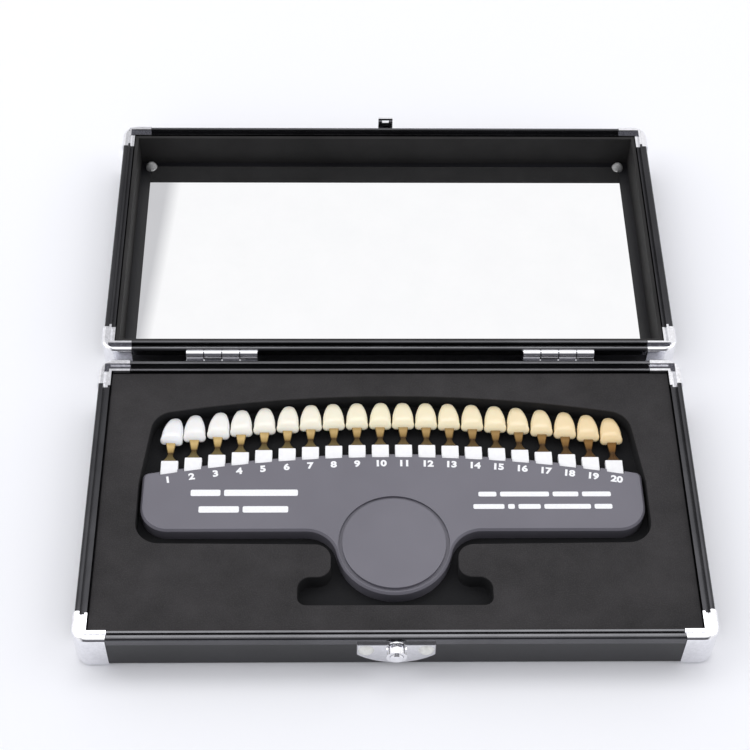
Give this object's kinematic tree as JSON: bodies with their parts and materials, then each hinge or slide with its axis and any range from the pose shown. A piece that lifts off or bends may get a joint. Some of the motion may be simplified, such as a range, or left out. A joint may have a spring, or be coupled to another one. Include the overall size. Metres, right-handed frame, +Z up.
{
  "type": "dental shade guide",
  "caption": "Dental shade guide: a curved holder of numbered tooth tabs in a foam-lined hinged case with a mirror in the lid",
  "frame": {"origin": "middle of the open kit's footprint, on the surface that it lies on", "axes": "+X along the case to the right, +Y from the base's latch side to the lid's catch side, +Z up"},
  "size_m": [0.2362, 0.2698, 0.0221],
  "materials": {
    "case_panel": "lavender-grey laminate",
    "rim_rail": "satin black extrusion",
    "chrome": "bright plated",
    "rivet": "bright plated",
    "lining": "matt black",
    "mirror": "silvered glass",
    "adhesive": "clear glue",
    "foam": "fine matt closed-cell",
    "holder": "satin slate",
    "stem_metal": "worn gold plating",
    "tooth_bleach": "glossy blue-white",
    "tooth_light": "glossy ivory",
    "tooth_medium": "glossy cream",
    "tooth_dark": "glossy tan"
  },
  "bodies": {
    "base": {"base_tray": "case_panel", "base_rim_rails": "rim_rail", "base_corner_castings": "chrome", "base_hinge_leaves": "chrome", "hinge_pins": "chrome", "base_rivets": "rivet", "latch_plate": "chrome", "latch_spring": "chrome", "foam_insert": "foam", "shade_holder": "holder", "stem_01": "stem_metal", "stem_02": "stem_metal", "stem_03": "stem_metal", "stem_04": "stem_metal", "stem_05": "stem_metal", "stem_06": "stem_metal", "stem_07": "stem_metal", "stem_08": "stem_metal", "stem_09": "stem_metal", "stem_10": "stem_metal", "stem_11": "stem_metal", "stem_12": "stem_metal", "stem_13": "stem_metal", "stem_14": "stem_metal", "stem_15": "stem_metal", "stem_16": "stem_metal", "stem_17": "stem_metal", "stem_18": "stem_metal", "stem_19": "stem_metal", "stem_20": "stem_metal", "tooth_01": "tooth_bleach", "tooth_02": "tooth_bleach", "tooth_03": "tooth_bleach", "tooth_04": "tooth_bleach", "tooth_05": "tooth_bleach", "tooth_06": "tooth_light", "tooth_07": "tooth_light", "tooth_08": "tooth_light", "tooth_09": "tooth_light", "tooth_10": "tooth_light", "tooth_11": "tooth_medium", "tooth_12": "tooth_medium", "tooth_13": "tooth_medium", "tooth_14": "tooth_medium", "tooth_15": "tooth_medium", "tooth_16": "tooth_dark", "tooth_17": "tooth_dark", "tooth_18": "tooth_dark", "tooth_19": "tooth_dark", "tooth_20": "tooth_dark"},
    "lid": {"lid_tray": "case_panel", "lid_rim_rails": "rim_rail", "lid_corner_castings": "chrome", "lid_hinge_leaves": "chrome", "lid_rivets": "rivet", "lid_lining": "lining", "mirror": "mirror", "mirror_dabs": "adhesive", "catch_hook": "chrome"},
    "button": {"latch_button": "chrome"}
  },
  "joints": [
    {"name": "lid_hinge", "type": "hinge", "parent": "base", "child": "lid", "pos_m": [0, 0.00175, 0.0189], "axis": [1, 0, 0], "range_deg": [0, 180]},
    {"name": "latch_press", "type": "slide", "parent": "base", "child": "button", "axis": [0, 1, 0], "range_m": [0, 0.0009], "stiffness_N_per_m": 400}
  ]
}
